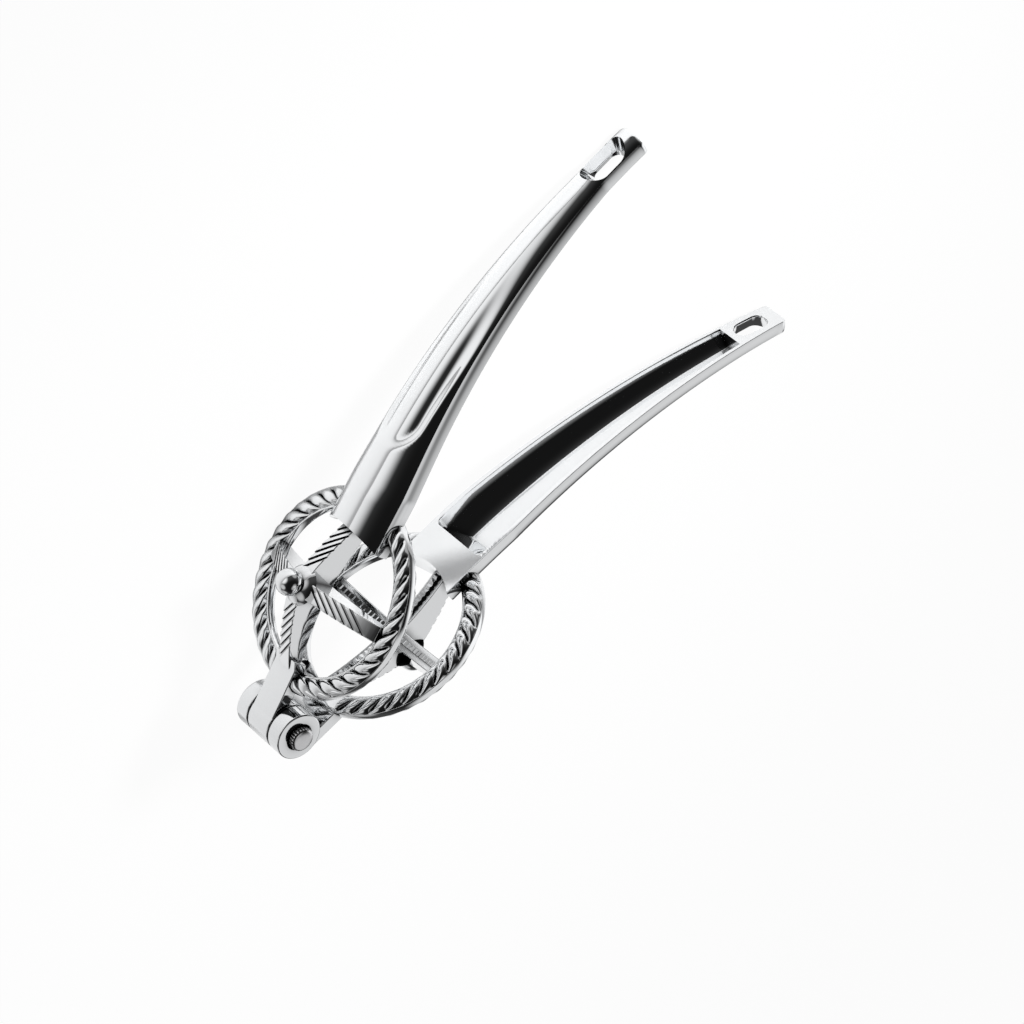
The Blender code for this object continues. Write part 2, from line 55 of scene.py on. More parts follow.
BEVEL_FROM = 25             # edges sharper than this are rounded, degrees
BEVEL_CUTS = 3
CORNER_STEPS = 5
CREASE = 38                 # edges sharper than this are shaded as edges, degrees
EVEN_WEIGHT = 90
OPENING = 25.8              # angle between the jaws at rest, degrees
GAP = 0.3
SINK = 0.15                 # how far joined forms reach into each other

# hinge
BARREL_R = 6.4
BORE_R = 3.5
BORE_SOFT = 0.25            # chamfer at the mouth of a bore
MIDDLE_HALF = 4.3
KNUCKLE_IN = 4.6
KNUCKLE_OUT = 9.2
KNUCKLE_EDGE = 0.45
KNUCKLE_SLOT_OVER = 0.07    # how much longer the room for the middle knuckle is, at each end
SLAB_IN = 3.1
SLAB_OUT = 6.5
SLAB_START = 5.6
SLAB_END = 14.0
SLAB_SEAT = 1.0             # how far the slab's parting side starts inside the barrel
SLAB_FOOT = 3.6             # the slab's corner inside the barrel, clear of the bore
PLATE_EDGE = 0.3            # rounding of the slab and the lug
LUG_END = 17.0
LUG_RISE = 0.6
LUG_LOW = 0.55
PIN_R = 3.2
PIN_NEAR = 11.3
PIN_FAR = -9.8
PIN_CENTRE = 0.02           # radius of the small face that closes each end
PIN_CHAMFER = ((0.8, 0.0), (0.2, 0.2), (0.0, 0.5))      # inset and height, at the far end
PIN_DOME = ((3.05, 0.0), (2.75, 0.22), (2.5, 0.3), (1.6, 0.42), (PIN_CENTRE, 0.48))
PIN_DOME_HIGH = 0.5
KNURL_FROM = 8.6
KNURL_FULL = 8.9
KNURL_TO = 10.5
KNURL_DEEP = 0.25
KNURL_TEETH = 24
KNURL_STEPS = 6             # points to a tooth

# ring
RING_X = 35.75
RING_MID = 3.6
RING_SECTION = 44           # points round the section
ROPE_R = 24.1
ROPE_OUT = 2.7
ROPE_IN = 2.5
ROPE_HALF = 2.7
ROPE_SQUARE = (0.8, 0.86)   # exponents under 1 make the section fuller, across and in height
LOBES = 36
LAY = 3                     # lobes that a groove passes on its way round the section
LOBE_STEPS = 14
GROOVE = 0.56
GROOVE_START = 0.95         # height at which the grooves leave the smooth band
GROOVE_RISE = 0.45          # share of the half height over which they get their full depth
INNER_BAND = (21.35, 22.1, 1.25)    # radii and half height of the smooth rim inside the rope
OUTER_BAND = (25.6, 26.8, 1.0)      # the same of the belt outside it
BAND_EDGE = 0.2
BAND_CORNER = 3             # steps of a band's rounded edge
BAND_STEPS = 240
TRIM_LOW = -0.1             # where the lower rope is cleared off the slab
TRIM_OVER = 2.0
RING_CREASE = 60

# cage
CAGE_REACH = 22.4
CAGE_TOP = 16.9             # outer side of the arms at the hub, less a fall and an arc towards the ring
CAGE_FALL = 0.22
CAGE_ARC = 92.6
CAGE_BOTTOM = 6.9
CAGE_HOLLOW = 133.3
ARM_STEPS = 24
BLADE_T = 4.3
BLADE_EDGE = 0.28
EDGE_T = 1.3
EDGE_DROP = 1.0
EDGE_SEAT = 1.0             # how far the toothed edge reaches up into the arm
EDGE_REACH = 21.3
TOOTH = 0.45
TEETH = 28
SLOTS = 6
SLOT_FIRST = 6.2
SLOT_PITCH = 2.3
SLOT_W = 0.75
SLOT_DEEP = 0.5
SLOT_LONG = 2.4             # in thicknesses of the arm
SLOT_SLANT = -35.0
SLOPE_STEP = 0.1            # the arm's slope at a slot is taken this far to each side
BALL_R = 3.5
BALL_OUT = 19.2
BALL_SIDES = 64
BALL_FROM = -38             # where the ball leaves its collar, degrees
BALL_STEP = 8
BALL_POLE = 0.0001
COLLAR = ((BALL_POLE, -4.2), (5.2, -4.2), (4.3, -3.0))  # radius and height from the ball's centre

# handle
ROOT_R = 18.5               # the ring's opening, where the root ends
ROOT_OVER = 4.0
DRUM_REACH = 30
DRUM_SIDES = 160
ROOT_HALF = 10.4
TIP_HALF = 4.3
TAPER = 0.069
ROOT_DEPTH = 9.85
TIP_DEPTH = 6.2
ROOT_WALL = 4.1             # height of the upright flanks
TIP_WALL = 3.5
FLANK = ((0.993, 0.4), (0.982, 0.75))   # the flank's lean: shares of the half width and of its height
SHOULDER = 0.95
RIM_SOFT = 0.22
SOFT_KNEE = 0.3             # middle point of a softened edge, as a share of its size
TIP_ROUND = 1.1
TIP_DRAW = 0.6              # how much the section shrinks over the rounded tip
TIP_STEPS = 5
HANDLE_STATIONS = 150
HANDLE_ARCH = 30

# the hollow of a handle
CHANNEL_START = 63.2
CHANNEL_END = 150.9
CHANNEL_SWEEP = 4.8         # length of the sloping end at the root
CHANNEL_FIRST = 0.05        # share of the depth that the slope begins with
CHANNEL_SLOPE = 1.35
CHANNEL_OVER = 2.0
CHANNEL_STEPS = 60
NOSE_STEPS = 24
NOSE_CROWD = 1.4            # the steps crowd towards the start
CORNER_R = 1.5              # corners of the hollow at its start
LIP_ROOT = 1.4
LIP_TIP = 1.0
LIP_SOFT = 0.15
WALL_CURVE = 1.26
WALL_SHARES = (0.05, 0.15, 0.3, 0.45, 0.58, 0.7, 0.8, 0.88, 0.94, 0.98, 1.0)
FLOOR_HALF_ROOT = 3.65
FLOOR_HALF_TIP = 1.25
FLOOR_ROOT = 8.0
FLOOR_TIP = 4.4

# hanging hole
HOLE_LONG = 9.3
HOLE_WIDE = 5.0
HOLE_LIP = ((-1.0, 1.2), (0.0, 0.3), (0.2, 0.08))       # depth and how much wider, at the open side
HOLE_STRAIGHT = 0.5         # depth from which the hole flares towards the crown
HOLE_FLARE = 0.42
HOLE_LEVELS = (2.0, 4.0)
HOLE_OVER = 1.2
HOLE_SIDES = 64

# the long soft panel in the crown: pairs are values at its root and further on
PANEL_START = 75.5
PANEL_ROUND = 9.0           # length of its rounded start
PANEL_WIDENS = 35           # run over which share and step change
PANEL_SHARES = (0.72, 0.92)         # half width of the panel in half widths of the handle
PANEL_STEPS = (2.2, 3.4)            # width of its soft edge
PANEL_DEPTHS = (0.4, 0.35)
PANEL_DEPTH_RUN = (30, 30)          # where the change begins, and over what run
PANEL_CROWNS = (1.6, 0.15)          # how far its edges lie below its middle
PANEL_CROWN_RUN = (25, 35)

# the camera in the hinge's frame: where it stands, how it is turned, and its lens
CAMERA_PLACE = (0.14035, 1.01647, 0.90801)
CAMERA_TURN = (-35.842, -35.895, -42.655)
CAMERA_LENS = 193.505
CAMERA_SENSOR = 36
CAMERA_CLIP = (0.05, 20)

# light: soft boxes round the tool by azimuth, elevation, inner and outer radius in degrees, strength
SOFT_BOXES = (
    (-58, 14, 12, 30, 1.0),
    (-100, 39, 12, 28, 0.7),
    (-95, 74, 8, 24, 0.4),
    (-35, 74, 4, 20, 0.25),
    (98, -4, 10, 38, 0.9),
    (150, 14, 10, 24, 0.5),
    (10, 4, 8, 22, 0.35),
    (-165, 10, 8, 20, 0.4),
)
ROOM = 0.008
HORIZON = 0.05              # a little light low down, gone between these two elevations
HORIZON_SPAN = (12, 50)
FILL = 0.2                  # what dull surfaces get besides the soft boxes
KEY_FROM = (24, 44)         # azimuth and elevation of the lamp over the floor
KEY_AT = (0.012, 0.01, 0.0)
KEY_FAR = 0.9
KEY_POWER = 44
KEY_CONE = 27
KEY_SIZE = 0.1

# floor, in metres
FLOOR_HALF = 3.0
FLOOR_CELLS = 24
FLOOR_LOW = 0.0002          # the paper lies this far under the tool
PAPER = 0.86
FLOOR_GLOW = 0.95           # share of plain white that the camera sees in the paper
FLOOR_GLOW_MIRRORED = 0.16

# metal: noise scales to the metre, and shares between which a map runs
CLOUD_SCALE = 90
CLOUD_DETAIL = 3
CLOUD_SPAN = (0.3, 0.7)
ROUGH_SHARES = (0.7, 1.4)
RIPPLE_SCALE = 240
RIPPLE_DETAIL = 2
RIPPLE_HIGH = 0.00002
# painted shade in hollows: occlusion samples, reach in metres, and the span over which the base colour
# darkens
HOLLOW_SAMPLES = 8
HOLLOW_REACH = 0.003
HOLLOW_SPAN = (0.35, 0.93)

WHITE = (1, 1, 1, 1)

joint = frame["joints"][0]
pin_axis = Vector(joint["axis"])
pin_lean = math.atan2(pin_axis.x, pin_axis.z)
HINGE = Matrix.Translation(joint["pos_m"]) @ Matrix.Rotation(pin_lean, 4, "Y")
scene = bpy.context.scene


def mix(a, b, t):
    return a + (b - a) * t


def clamp(t):
    return min(1.0, max(0.0, t))


def smooth(t):
    t = clamp(t)
    return t * t * (3 - 2 * t)


class Jaw:
    """What differs between the two jaws."""

    def __init__(self, body, side, rim, bend, bend_start, bend_radius, taper_start, tip, hole):
        self.body = body
        self.side = side
        self.rim = rim
        self.bend = bend
        self.bend_start = bend_start
        self.bend_radius = bend_radius
        self.taper_start = taper_start
        self.tip = tip
        self.hole = hole
        self.matrix = HINGE @ Matrix.Rotation(math.radians(side * OPENING / 2), 4, "Z")

    def rim_at(self, x):
        """A point on the handle's open side, and the direction along the handle there."""
        run = max(0.0, x - self.bend_start)
        sine = run / self.bend_radius
        cosine = math.sqrt(1 - sine * sine)
        out = self.rim + self.bend * self.bend_radius * (1 - cosine)
        return Vector((x, out)), Vector((cosine, self.bend * sine))

    def half_width(self, x):
        return max(TIP_HALF, ROOT_HALF - TAPER * max(0.0, x - self.taper_start))

    def along(self, x):
        return clamp((x - CHANNEL_START) / (CHANNEL_END - CHANNEL_START))

    def depth(self, x):
        return mix(ROOT_DEPTH, TIP_DEPTH, self.along(x))

    def wall(self, x):
        return mix(ROOT_WALL, TIP_WALL, self.along(x))

    def at(self, x, deep, z):
        rim, tangent = self.rim_at(x)
        return self.place(rim.x - tangent.y * deep, rim.y + tangent.x * deep, z)

    def place(self, x, out, z):
        return Vector((x, self.side * out, z))

    def outline(self, points):
        """A flat outline of (x, out) points, on this jaw's side."""
        return [(x, self.side * out) for x, out in points]


LOWER = Jaw(
    body="lower",
    side=-1,
    rim=-0.6,
    bend=1,
    bend_start=56.0,
    bend_radius=250.0,
    taper_start=74.0,
    tip=164.5,
    hole=157.1,
)
UPPER = Jaw(
    body="upper",
    side=1,
    rim=3.2,
    bend=-1,
    bend_start=78.0,
    bend_radius=200.0,
    taper_start=66.5,
    tip=167.7,
    hole=159.0,
)


# node trees


def node_tree(owner):
    owner.use_nodes = True
    owner.node_tree.nodes.clear()
    return owner.node_tree


def add_node(tree, kind, **settings):
    made = tree.nodes.new(kind)
    for name, value in settings.items():
        setattr(made, name, value)
    return made


def math_node(tree, operation, a, b):
    made = add_node(tree, "ShaderNodeMath", operation=operation)
    for socket, value in zip(made.inputs, (a, b)):
        if isinstance(value, (int, float)):
            socket.default_value = value
        else:
            tree.links.new(value, socket)
    return made.outputs[0]


def map_range(tree, value, source, target, kind="LINEAR"):
    """The value with one span mapped onto another."""
    made = add_node(tree, "ShaderNodeMapRange", interpolation_type=kind)
    tree.links.new(value, made.inputs["Value"])
    names = ("From Min", "From Max", "To Min", "To Max")
    for name, end in zip(names, (*source, *target)):
        made.inputs[name].default_value = end
    return made.outputs["Result"]


def noise(tree, place, scale, detail):
    made = add_node(tree, "ShaderNodeTexNoise")
    made.inputs["Scale"].default_value = scale
    made.inputs["Detail"].default_value = detail
    tree.links.new(place, made.inputs["Vector"])
    return made.outputs["Fac"]


def mixed(tree, share, first, second):
    """A mix of two shaders, the second one in the given share."""
    both = add_node(tree, "ShaderNodeMixShader")
    for socket, source in zip(both.inputs, (share, first.outputs[0], second.outputs[0])):
        tree.links.new(source, socket)
    return both


def finish_tree(tree, kind, shader):
    out = add_node(tree, kind)
    tree.links.new(shader.outputs[0], out.inputs["Surface"])


def seen_directly(tree, straight, mirrored):
    """How much of the white a ray sees: straight for the camera, mirrored for metal and glass."""
    path = add_node(tree, "ShaderNodeLightPath")
    both = math_node(tree, "ADD", path.outputs["Is Glossy Ray"], path.outputs["Is Transmission Ray"])
    direct = math_node(tree, "MULTIPLY", path.outputs["Is Camera Ray"], straight)
    return math_node(tree, "ADD", direct, math_node(tree, "MULTIPLY", both, mirrored))


# stage, camera and light


def direction(azimuth, elevation):
    """A unit vector from two angles in degrees."""
    a, e = math.radians(azimuth), math.radians(elevation)
    return Vector((math.cos(e) * math.cos(a), math.cos(e) * math.sin(a), math.sin(e)))


def make_camera():
    data = bpy.data.cameras.new("camera")
    data.sensor_width = CAMERA_SENSOR
    data.lens = CAMERA_LENS
    data.clip_start, data.clip_end = CAMERA_CLIP
    made = bpy.data.objects.new("camera", data)
    scene.collection.objects.link(made)
    turn = Matrix.Rotation(math.radians(CAMERA_TURN[2]), 4, "Z")
    turn = turn @ Matrix.Rotation(math.radians(CAMERA_TURN[1]), 4, "Y")
    turn = turn @ Matrix.Rotation(math.radians(CAMERA_TURN[0]), 4, "X")
    made.matrix_world = HINGE @ Matrix.Translation(CAMERA_PLACE) @ turn
    scene.camera = made


def make_floor():
    """White paper under the tool, which keeps its soft shadow."""
    bm = bmesh.new()
    bmesh.ops.create_grid(bm, x_segments=FLOOR_CELLS, y_segments=FLOOR_CELLS, size=FLOOR_HALF)
    mesh = bpy.data.meshes.new("floor")
    bm.to_mesh(mesh)
    bm.free()
    floor = bpy.data.objects.new("floor", mesh)
    floor.location = (0, 0, -FLOOR_LOW)
    scene.collection.objects.link(floor)
    paper = bpy.data.materials.new("floor_paper")
    tree = node_tree(paper)
    diffuse = add_node(tree, "ShaderNodeBsdfDiffuse")
    diffuse.inputs["Color"].default_value = (PAPER, PAPER, PAPER, 1)
    glow = add_node(tree, "ShaderNodeEmission")
    glow.inputs["Color"].default_value = WHITE
    share = seen_directly(tree, FLOOR_GLOW, FLOOR_GLOW_MIRRORED)
    finish_tree(tree, "ShaderNodeOutputMaterial", mixed(tree, share, diffuse, glow))
    mesh.materials.append(paper)


def make_world():
    """Plain white to the camera. The metal mirrors soft boxes with dark gaps between them."""
    world = bpy.data.worlds.new("studio")
    scene.world = world
    tree = node_tree(world)
    where = add_node(tree, "ShaderNodeTexCoord").outputs["Generated"]
    split = add_node(tree, "ShaderNodeSeparateXYZ")
    tree.links.new(where, split.inputs[0])
    span = [math.sin(math.radians(angle)) for angle in HORIZON_SPAN]
    low = map_range(tree, split.outputs["Z"], span, (HORIZON, 0.0), "SMOOTHSTEP")
    level = math_node(tree, "ADD", low, ROOM)
    for azimuth, elevation, inner, outer, strength in SOFT_BOXES:
        dot = add_node(tree, "ShaderNodeVectorMath", operation="DOT_PRODUCT")
        tree.links.new(where, dot.inputs[0])
        dot.inputs[1].default_value = direction(azimuth, elevation)
        span = [math.cos(math.radians(angle)) for angle in (outer, inner)]
        box = map_range(tree, dot.outputs["Value"], span, (0.0, strength), "SMOOTHSTEP")
        level = math_node(tree, "ADD", level, box)
    path = add_node(tree, "ShaderNodeLightPath")
    fill = math_node(tree, "MULTIPLY", path.outputs["Is Diffuse Ray"], FILL)
    studio = add_node(tree, "ShaderNodeBackground")
    tree.links.new(math_node(tree, "ADD", level, fill), studio.inputs["Color"])
    plain = add_node(tree, "ShaderNodeBackground")
    plain.inputs["Color"].default_value = WHITE
    both = mixed(tree, path.outputs["Is Camera Ray"], studio, plain)
    finish_tree(tree, "ShaderNodeOutputWorld", both)


def make_key():
    """A soft spot that fades outwards, for the tool's shadow. The metal mirrors the paper, not the lamp."""
    data = bpy.data.lights.new("key", "SPOT")
    data.energy = KEY_POWER
    data.shadow_soft_size = KEY_SIZE
    data.spot_size = math.radians(KEY_CONE)
    data.spot_blend = 1.0
    made = bpy.data.objects.new("key", data)
    scene.collection.objects.link(made)
    toward = direction(*KEY_FROM)
    made.location = Vector(KEY_AT) + KEY_FAR * toward
    made.rotation_euler = toward.to_track_quat("Z", "Y").to_euler()
    made.visible_glossy = False


def chrome(name, tint, roughness, wave, painted_hollow_shade):
    """Plated metal: slight unevenness of the casting under the plating, and painted shade that darkens the
    base colour in hollows.
    """
    made = bpy.data.materials.new(name)
    tree = node_tree(made)
    place = add_node(tree, "ShaderNodeTexCoord").outputs["Object"]
    shader = add_node(tree, "ShaderNodeBsdfPrincipled")
    shader.inputs["Metallic"].default_value = 1.0

    cloud = noise(tree, place, CLOUD_SCALE, CLOUD_DETAIL)
    rough = map_range(tree, cloud, CLOUD_SPAN, [roughness * share for share in ROUGH_SHARES])
    tree.links.new(rough, shader.inputs["Roughness"])

    # painted shade: the base colour darkens where ambient occlusion finds grooves, creases and gaps between
    # parts
    hollow = add_node(tree, "ShaderNodeAmbientOcclusion", samples=HOLLOW_SAMPLES)
    hollow.inputs["Distance"].default_value = HOLLOW_REACH
    ramp = add_node(tree, "ShaderNodeValToRGB")
    dark, bright = ramp.color_ramp.elements
    dark.position, bright.position = HOLLOW_SPAN
    dark.color = (*[c * (1 - painted_hollow_shade) for c in tint], 1)
    bright.color = (*tint, 1)
    tree.links.new(hollow.outputs["AO"], ramp.inputs["Fac"])
    tree.links.new(ramp.outputs["Color"], shader.inputs["Base Color"])

    bump = add_node(tree, "ShaderNodeBump")
    bump.inputs["Strength"].default_value = wave
    bump.inputs["Distance"].default_value = RIPPLE_HIGH
    tree.links.new(noise(tree, place, RIPPLE_SCALE, RIPPLE_DETAIL), bump.inputs["Height"])
    tree.links.new(bump.outputs["Normal"], shader.inputs["Normal"])
    finish_tree(tree, "ShaderNodeOutputMaterial", shader)
    return made


make_camera()
make_floor()
make_world()
make_key()
scene.view_settings.view_transform = "Standard"

# the last value of each is how far the painted shade darkens the base colour in hollows
CHROME = chrome("chrome", tint=(0.87, 0.88, 0.89), roughness=0.035, wave=0.1, painted_hollow_shade=0.95)
PIN_METAL = chrome("pin_metal", tint=(0.66, 0.66, 0.67), roughness=0.14, wave=0.2, painted_hollow_shade=0.7)


# skins: every one is made in its jaw's frame, in millimetres


def skin(rings, capped=True, looped=False):
    """Quads over closed rings of equally many points."""
    bm = bmesh.new()
    rows = [[bm.verts.new(p) for p in ring] for ring in rings]
    count = len(rows[0])
    pairs = list(zip(rows, rows[1:]))
    if looped:
        pairs.append((rows[-1], rows[0]))
    for a, b in pairs:
        for i in range(count):
            j = (i + 1) % count
            bm.faces.new((a[i], a[j], b[j], b[i]))
    if capped and not looped:
        bm.faces.new(rows[0])
        bm.faces.new(rows[-1])
    bmesh.ops.recalc_face_normals(bm, faces=bm.faces)
    return bm


def prism(outline, low, high, round_by=0.0, turn=None):
    """A flat outline between two levels, with its edges rounded."""
    bm = bmesh.new()
    bottom = [bm.verts.new((x, y, low)) for x, y in outline]
    top = [bm.verts.new((x, y, high)) for x, y in outline]
    bm.faces.new(bottom)
    bm.faces.new(top)
    count = len(outline)
    for i in range(count):
        j = (i + 1) % count
        bm.faces.new((bottom[i], bottom[j], top[j], top[i]))
    bmesh.ops.recalc_face_normals(bm, faces=bm.faces)
    if round_by:
        sharp = [e for e in bm.edges if e.calc_face_angle(0) > math.radians(BEVEL_FROM)]
        bmesh.ops.bevel(
            bm,
            geom=sharp,
            offset=round_by,
            segments=BEVEL_CUTS,
            profile=0.5,
            affect="EDGES",
            clamp_overlap=True,
        )
    if turn is not None:
        bmesh.ops.transform(bm, matrix=turn, verts=bm.verts)
    return bm


def turned(profile, count=TURNED_SIDES, turn=None, looped=False):
    """A profile of (radius, z) points turned round z: solid, or looped round an open bore."""
    angles = [math.tau * i / count for i in range(count)]
    rings = [[Vector((r * math.cos(a), r * math.sin(a), z)) for a in angles] for r, z in profile]
    bm = skin(rings, looped=looped)
    if turn is not None:
        bmesh.ops.transform(bm, matrix=turn, verts=bm.verts)
    return bm


def corner(radius_at, z_at, radius, start):
    """Points of a rounded corner, for a turned profile, over a quarter turn from start in degrees."""
    made = []
    for i in range(CORNER_STEPS + 1):
        a = math.radians(mix(start, start + 90, i / CORNER_STEPS))
        made.append((radius_at + radius * math.cos(a), z_at + radius * math.sin(a)))
    return made


def held(bm):
    """A skin as an object of its own, for the cuts."""
    mesh = bpy.data.meshes.new("tool")
    bm.to_mesh(mesh)
    bm.free()
    made = bpy.data.objects.new("tool", mesh)
    scene.collection.objects.link(made)
    return made


def carved(bm, *tools):
    """The first skin with the tools cut from it."""
    target = held(bm)
    cutters = [held(tool) for tool in tools]
    for cutter in cutters:
        cut = target.modifiers.new("cut", "BOOLEAN")
        cut.operation = "DIFFERENCE"
        cut.solver = "EXACT"
        cut.object = cutter
    bpy.context.view_layer.update()
    mesh = bpy.data.meshes.new_from_object(target.evaluated_get(bpy.context.evaluated_depsgraph_get()))
    made = bmesh.new()
    made.from_mesh(mesh)
    for old in (target, *cutters):
        bpy.data.objects.remove(old, do_unlink=True)
    bpy.data.meshes.remove(mesh)
    return made


def piece(name, jaw, skins, material, crease=CREASE, even=True):
    """One shown piece from closed skins, riding on its jaw's body."""
    bm = bmesh.new()
    for part in skins:
        mesh = bpy.data.meshes.new("part")
        part.to_mesh(mesh)
        part.free()
        bm.from_mesh(mesh)
        bpy.data.meshes.remove(mesh)
    bmesh.ops.remove_doubles(bm, verts=bm.verts, dist=MERGE)
    bmesh.ops.transform(bm, matrix=jaw.matrix @ Matrix.Scale(MM, 4), verts=bm.verts)
    mesh = bpy.data.meshes.new(name)
    bm.to_mesh(mesh)
    bm.free()
    mesh.shade_smooth()
    mesh.set_sharp_from_angle(angle=math.radians(crease))
    mesh.materials.append(material)
    made = bpy.data.objects.new(name, mesh)
    scene.collection.objects.link(made)
    if even:
        # flat faces keep their own normals, and only the rounded edges between them turn
        flat = made.modifiers.new("even_normals", "WEIGHTED_NORMAL")
        flat.keep_sharp = True
        flat.weight = EVEN_WEIGHT
    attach(made, jaw.body)
    return made


# rope ring


def rope_profile():
    """Section of the ring as (radial, high, share, turn): share is how deep the grooves run there."""
    made = []
    for i in range(RING_SECTION):
        turn = math.tau * i / RING_SECTION
        c, s = math.cos(turn), math.sin(turn)
        radial = (ROPE_OUT if c > 0 else ROPE_IN) * math.copysign(abs(c) ** ROPE_SQUARE[0], c)
        high = ROPE_HALF * math.copysign(abs(s) ** ROPE_SQUARE[1], s)
        share = smooth((abs(high) - GROOVE_START) / (GROOVE_RISE * ROPE_HALF))
        made.append((radial, high, share, turn))
    return made


def rope_ring(jaw):
    """Fat strands laid round the ring, their grooves fading out on its inner and outer side."""
    count = LOBES * LOBE_STEPS
    rings = []
    for radial, high, share, turn in rope_profile():
        line = []
        for i in range(count):
            u = (i % LOBE_STEPS) / LOBE_STEPS
            ridge = math.sqrt(1 - (2 * u - 1) ** 2)
            keep = 1 - GROOVE * share * (1 - ridge)
            angle = (math.tau * i / LOBE_STEPS + LAY * turn) / LOBES
            radius = ROPE_R + radial * keep
            x = RING_X + radius * math.cos(angle)
            line.append(jaw.place(x, RING_MID + high * keep, radius * math.sin(angle)))
        rings.append(line)
    # the last line is the first one again, further on by the lay
    shift = LAY * LOBE_STEPS
    rings.append(rings[0][shift:] + rings[0][:shift])
    ring = skin(rings, capped=False)
    bmesh.ops.remove_doubles(ring, verts=ring.verts, dist=MERGE)
    return ring


def band(jaw, inner, outer, half):
    """A smooth band round the ring's centre, with rounded edges."""
    section = []
    corners = ((inner, -1, 180), (outer, -1, 270), (outer, 1, 0), (inner, 1, 90))
    for radius, level, start in corners:
        centre_r = radius + (BAND_EDGE if radius == inner else -BAND_EDGE)
        centre_out = RING_MID + level * (half - BAND_EDGE)
        for step in range(BAND_CORNER + 1):
            a = math.radians(start + 90 * step / BAND_CORNER)
            section.append((centre_r + BAND_EDGE * math.cos(a), centre_out + BAND_EDGE * math.sin(a)))
    rings = []
    for i in range(BAND_STEPS):
        a = math.tau * i / BAND_STEPS
        rings.append([jaw.place(RING_X + r * math.cos(a), out, r * math.sin(a)) for r, out in section])
    return skin(rings, looped=True)


def ring_trim(jaw):
    """Clears the ring off the parting side of the lower slab."""
    end = SLAB_END + TRIM_OVER
    high = SLAB_IN - SINK
    outline = [(0, TRIM_LOW), (end, TRIM_LOW), (end, high), (0, high)]
    return prism(jaw.outline(outline), -KNUCKLE_OUT, KNUCKLE_OUT)


def make_ring(jaw):
    skins = [rope_ring(jaw), band(jaw, *INNER_BAND), band(jaw, *OUTER_BAND)]
    if jaw is LOWER:
        skins = [carved(part, ring_trim(jaw)) for part in skins]
    piece(jaw.body + "_ring", jaw, skins, CHROME, RING_CREASE, even=False)


# cage


def blade_top(r):
    return CAGE_TOP - CAGE_FALL * abs(r) - r * r / CAGE_ARC


def blade_bottom(r):
    return CAGE_BOTTOM - r * r / CAGE_HOLLOW


def arm_slots(jaw):
    """Slanted bars along the outer side of two opposite arms."""
    slots = bmesh.new()
    size = Matrix.Diagonal((SLOT_LONG * BLADE_T, 2 * SLOT_DEEP, SLOT_W, 1))
    slant = Matrix.Rotation(math.radians(SLOT_SLANT), 4, "Y")
    for half_turn in (0, math.pi):
        arm = Matrix.Rotation(half_turn, 4, "Y")
        for i in range(SLOTS):
            r = SLOT_FIRST + SLOT_PITCH * i
            rise = blade_top(r + SLOPE_STEP) - blade_top(r - SLOPE_STEP)
            slope = Matrix.Rotation(math.atan2(rise, 2 * SLOPE_STEP), 4, "Z")
            where = Matrix.Translation((r, blade_top(r), 0)) @ slope @ slant
            bmesh.ops.create_cube(slots, size=1.0, matrix=arm @ where @ size)
    if jaw.side < 0:
        bmesh.ops.scale(slots, vec=(1, -1, 1), verts=slots.verts)
        bmesh.ops.recalc_face_normals(slots, faces=slots.faces)
    return slots


def arm_pair(jaw, turn):
    """Two opposite arms in one plate, with slanted slots across their outer side, and the toothed edge."""
    span = [CAGE_REACH * (i / ARM_STEPS - 1) for i in range(2 * ARM_STEPS + 1)]
    outline = [(r, blade_top(r)) for r in span] + [(r, blade_bottom(r)) for r in reversed(span)]
    body = prism(jaw.outline(outline), -BLADE_T / 2, BLADE_T / 2, BLADE_EDGE, turn)
    slots = arm_slots(jaw)
    bmesh.ops.transform(slots, matrix=turn, verts=slots.verts)

    teeth = []
    for i in range(2 * TEETH + 1):
        r = EDGE_REACH * (i / TEETH - 1)
        drop = EDGE_DROP if i % 2 else EDGE_DROP - TOOTH
        teeth.append((r, blade_bottom(r) - drop))
    seat = [EDGE_REACH * share for share in (1, 0.5, 0, -0.5, -1)]
    teeth += [(r, blade_bottom(r) + EDGE_SEAT) for r in seat]
    edge = prism(jaw.outline(teeth), -EDGE_T / 2, EDGE_T / 2, turn=turn)
    return carved(body, slots), edge


def knob(jaw):
    """The ball on the crossing of the arms, with a small collar under it."""
    profile = list(COLLAR)
    for angle in range(BALL_FROM, 90, BALL_STEP):
        a = math.radians(angle)
        profile.append((BALL_R * math.cos(a), BALL_R * math.sin(a)))
    profile.append((BALL_POLE, BALL_R))
    outwards = Matrix.Rotation(-jaw.side * math.pi / 2, 4, "X")
    return turned(profile, BALL_SIDES, Matrix.Translation(jaw.place(RING_X, BALL_OUT, 0)) @ outwards)


def make_cage(jaw):
    upright = Matrix.Translation((RING_X, 0, 0))
    crosswise = upright @ Matrix.Rotation(math.pi / 2, 4, "Y")
    skins = [*arm_pair(jaw, upright), *arm_pair(jaw, crosswise), knob(jaw)]
    piece(jaw.body + "_cage", jaw, skins, CHROME)


# handle


def sunk(jaw, x, z):
    """Depth of the long soft panel in the crown: a rounded start, then open to the tip."""
    run = x - PANEL_START
    if run <= 0:
        return 0.0

    def changed(pair, begins, over):
        return mix(*pair, smooth((run - begins) / over))

    half = changed(PANEL_SHARES, 0, PANEL_WIDENS) * jaw.half_width(x)
    inside = half * (1 - math.hypot(max(0.0, 1 - run / PANEL_ROUND), z / half))
    deep = changed(PANEL_DEPTHS, *PANEL_DEPTH_RUN)
    deep += changed(PANEL_CROWNS, *PANEL_CROWN_RUN) * (z / half) ** 2
    return deep * smooth(inside / changed(PANEL_STEPS, 0, PANEL_WIDENS))


def arch_at(jaw, x, z, shrink=0.0):
    """Depth of the handle's outer side at z: a parabola between the upright flanks, less the panel."""
    deep = jaw.depth(x) - shrink
    wall = jaw.wall(x) - shrink / 2
    shoulder = (jaw.half_width(x) - shrink) * SHOULDER
    return wall + (deep - wall) * (1 - (z / shoulder) ** 2) - sunk(jaw, x, z)


